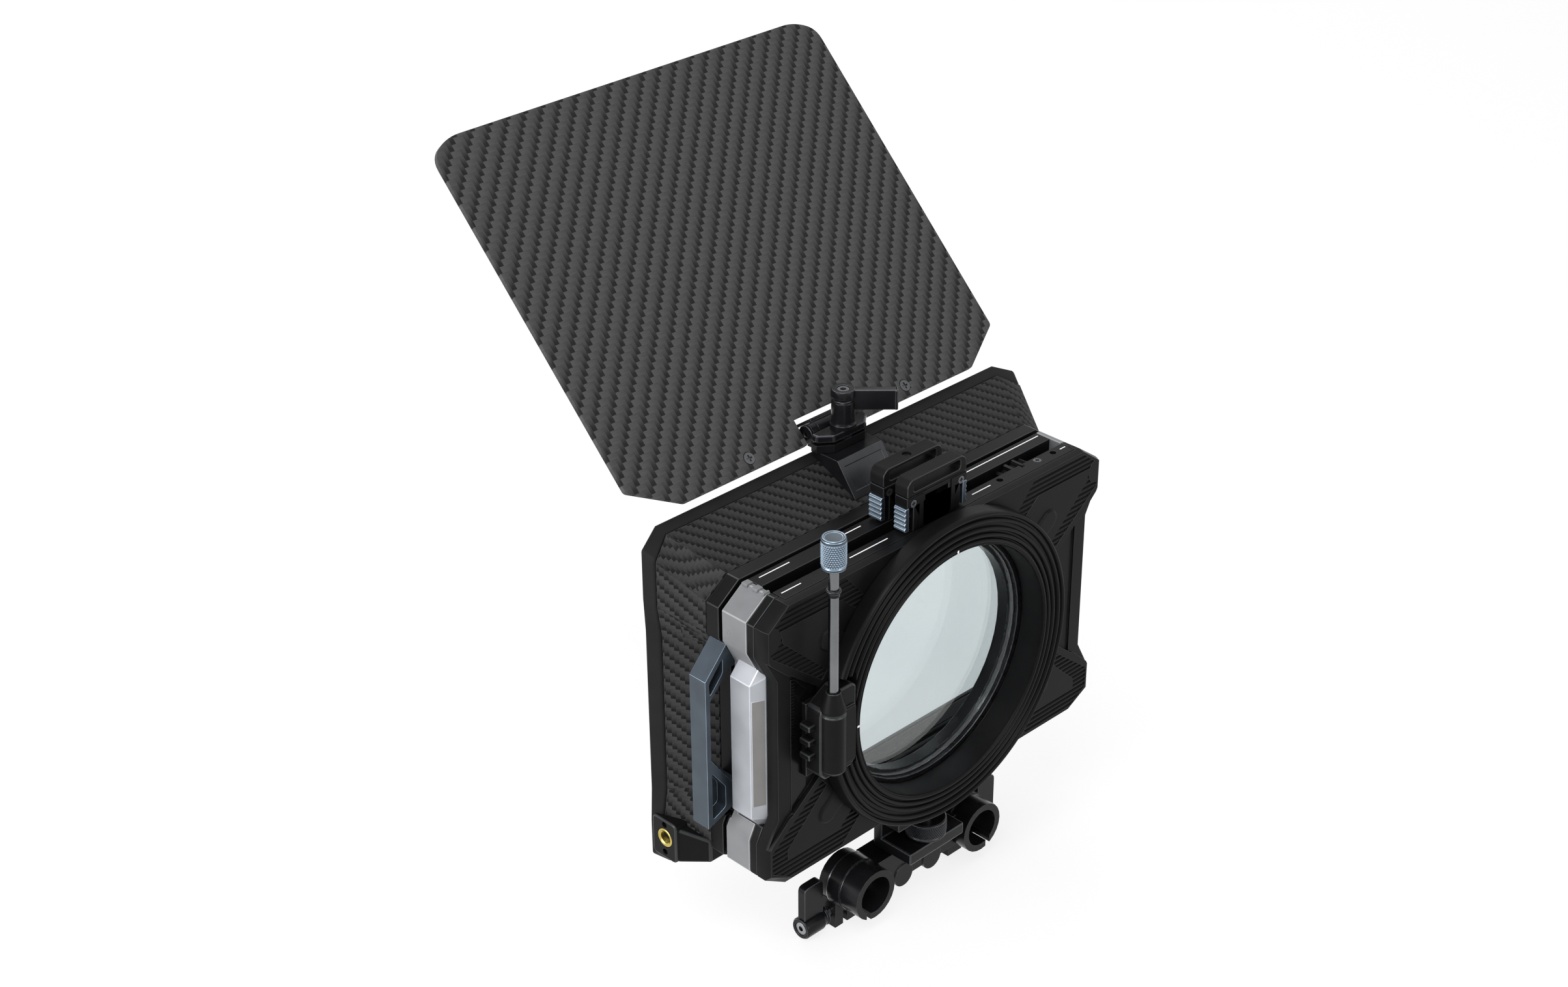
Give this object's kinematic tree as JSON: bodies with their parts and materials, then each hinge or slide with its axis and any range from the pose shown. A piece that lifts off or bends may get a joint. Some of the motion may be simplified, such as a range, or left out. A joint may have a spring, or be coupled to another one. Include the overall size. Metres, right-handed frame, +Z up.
{
  "type": "matte box",
  "caption": "Matte box with a flared hood, tilting top flag, two lift-out filter trays, a geared round filter and a rod clamp bracket.",
  "frame": {"origin": "on the lens axis, at the rear face of the rear housing, in the middle of the lens port", "axes": "+Y forward along the lens axis, out through the hood; +Z up; +X to the right as seen from behind"},
  "size_m": [0.1948, 0.1769, 0.2937],
  "materials": {
    "black_polymer": "satin moulded",
    "carbon_laminate": "carbon twill, satin",
    "grey_polymer": "satin moulded",
    "silver_alloy": "clear anodised",
    "blue_alloy": "blue anodised",
    "black_alloy": "black anodised",
    "steel": "turned",
    "brass": "turned",
    "black_rubber": "matt",
    "filter_glass": "polished"
  },
  "bodies": {
    "chassis": {"rear_housing": "black_polymer", "front_plate": "black_polymer", "hood_band": "black_polymer", "port_ring": "black_polymer", "drive_housing": "black_polymer", "hood_lip": "black_polymer", "accessory_boss_left": "black_polymer", "accessory_boss_right": "black_polymer", "flag_foot": "black_polymer", "bracket_lug": "black_polymer", "hood_shell": "carbon_laminate", "stage_frame": "grey_polymer", "side_bar_left": "silver_alloy", "side_bar_right": "silver_alloy", "side_handle_left": "blue_alloy", "side_handle_right": "blue_alloy", "flag_clamp_base": "black_alloy", "flag_clamp_plate": "black_alloy", "flag_hinge_pin": "black_alloy", "flag_clamp_post": "black_alloy", "rod_clamp_left": "black_alloy", "rod_clamp_right": "black_alloy", "clamp_bridge": "black_alloy", "bracket_arm": "black_alloy", "bracket_screw": "steel", "threaded_insert_left": "brass", "threaded_insert_right": "brass", "stage_seal": "black_rubber", "scale_window": "black_rubber"},
    "rear_tray": {"rear_tray_frame": "black_polymer", "rear_tray_grip": "black_polymer", "rear_tray_strap": "black_rubber", "thumb_axle": "steel"},
    "front_tray": {"front_tray_frame": "black_polymer", "front_filter_glass": "filter_glass", "front_tray_grip": "black_polymer", "front_tray_strap": "black_rubber"},
    "polariser": {"polariser_ring": "black_alloy", "polariser_glass": "filter_glass"},
    "thumb_wheel": {"thumb_gear": "black_polymer"},
    "drive_pinion": {"drive_pinion": "steel"},
    "drive_knob": {"knob_shaft": "steel", "knob_collar": "black_polymer", "drive_knob": "blue_alloy"},
    "flag": {"top_flag": "carbon_laminate", "flag_leaf": "black_alloy", "flag_screw_left": "black_alloy", "flag_screw_right": "black_alloy"},
    "flag_lever": {"flag_clamp_lever": "black_polymer", "flag_clamp_bolt": "black_alloy"},
    "rod_lever_left": {"rod_lever_left": "black_polymer", "clamp_screw_left": "steel"},
    "rod_lever_right": {"rod_lever_right": "black_polymer", "clamp_screw_right": "steel"},
    "thumb_nut": {"thumb_nut": "black_alloy"},
    "rear_latch_left": {"rear_latch_left": "blue_alloy"},
    "rear_latch_right": {"rear_latch_right": "blue_alloy"},
    "front_latch_left": {"front_latch_left": "blue_alloy"},
    "front_latch_right": {"front_latch_right": "blue_alloy"}
  },
  "joints": [
    {"name": "rear_tray_slide", "type": "slide", "parent": "chassis", "child": "rear_tray", "axis": [0, 0, 1], "range_m": [0, 0.116]},
    {"name": "rear_latch_left_press", "type": "slide", "parent": "rear_tray", "child": "rear_latch_left", "axis": [1, 0, 0], "range_m": [0, 0.0012], "stiffness_N_per_m": 300, "springref_m": -0.001},
    {"name": "rear_latch_right_press", "type": "slide", "parent": "rear_tray", "child": "rear_latch_right", "axis": [-1, 0, 0], "range_m": [0, 0.0012], "stiffness_N_per_m": 300, "springref_m": -0.001},
    {"name": "front_tray_slide", "type": "slide", "parent": "chassis", "child": "front_tray", "axis": [0, 0, 1], "range_m": [0, 0.116]},
    {"name": "front_latch_left_press", "type": "slide", "parent": "front_tray", "child": "front_latch_left", "axis": [1, 0, 0], "range_m": [0, 0.0012], "stiffness_N_per_m": 300, "springref_m": -0.001},
    {"name": "front_latch_right_press", "type": "slide", "parent": "front_tray", "child": "front_latch_right", "axis": [-1, 0, 0], "range_m": [0, 0.0012], "stiffness_N_per_m": 300, "springref_m": -0.001},
    {"name": "polariser_turn", "type": "hinge", "parent": "rear_tray", "child": "polariser", "pos_m": [0, 0.008, 0], "axis": [0, 1, 0], "continuous": true},
    {"name": "thumb_wheel_turn", "type": "hinge", "parent": "rear_tray", "child": "thumb_wheel", "pos_m": [0.05228, 0.011, 0.04465], "axis": [0, 1, 0], "continuous": true},
    {"name": "pinion_turn", "type": "hinge", "parent": "chassis", "child": "drive_pinion", "pos_m": [-0.06463, 0.005, 0], "axis": [0, 1, 0], "continuous": true},
    {"name": "knob_turn", "type": "hinge", "parent": "chassis", "child": "drive_knob", "pos_m": [-0.06463, -0.0087, 0.04], "axis": [0, 0, 1], "continuous": true},
    {"name": "flag_tilt", "type": "hinge", "parent": "chassis", "child": "flag", "pos_m": [0, 0.0576, 0.0778], "axis": [1, 0, 0], "range_deg": [-95, 35]},
    {"name": "flag_lever_turn", "type": "hinge", "parent": "chassis", "child": "flag_lever", "pos_m": [0, 0.0503, 0.09], "axis": [0, 0, 1], "range_deg": [-90, 45]},
    {"name": "rod_lever_left_turn", "type": "hinge", "parent": "chassis", "child": "rod_lever_left", "pos_m": [-0.048, 0.0188, -0.1032], "axis": [1, 0, 0], "range_deg": [0, 120]},
    {"name": "rod_lever_right_turn", "type": "hinge", "parent": "chassis", "child": "rod_lever_right", "pos_m": [0.048, 0.0188, -0.1032], "axis": [1, 0, 0], "range_deg": [0, 120]},
    {"name": "thumb_nut_turn", "type": "hinge", "parent": "chassis", "child": "thumb_nut", "pos_m": [0, 0.0051, -0.075], "axis": [0, 0, 1], "continuous": true}
  ],
  "couplings": [
    {"joint": "pinion_turn", "follows": "polariser_turn", "ratio": -5.7143},
    {"joint": "thumb_wheel_turn", "follows": "polariser_turn", "ratio": -4},
    {"joint": "knob_turn", "follows": "polariser_turn", "ratio": 5.7143}
  ]
}
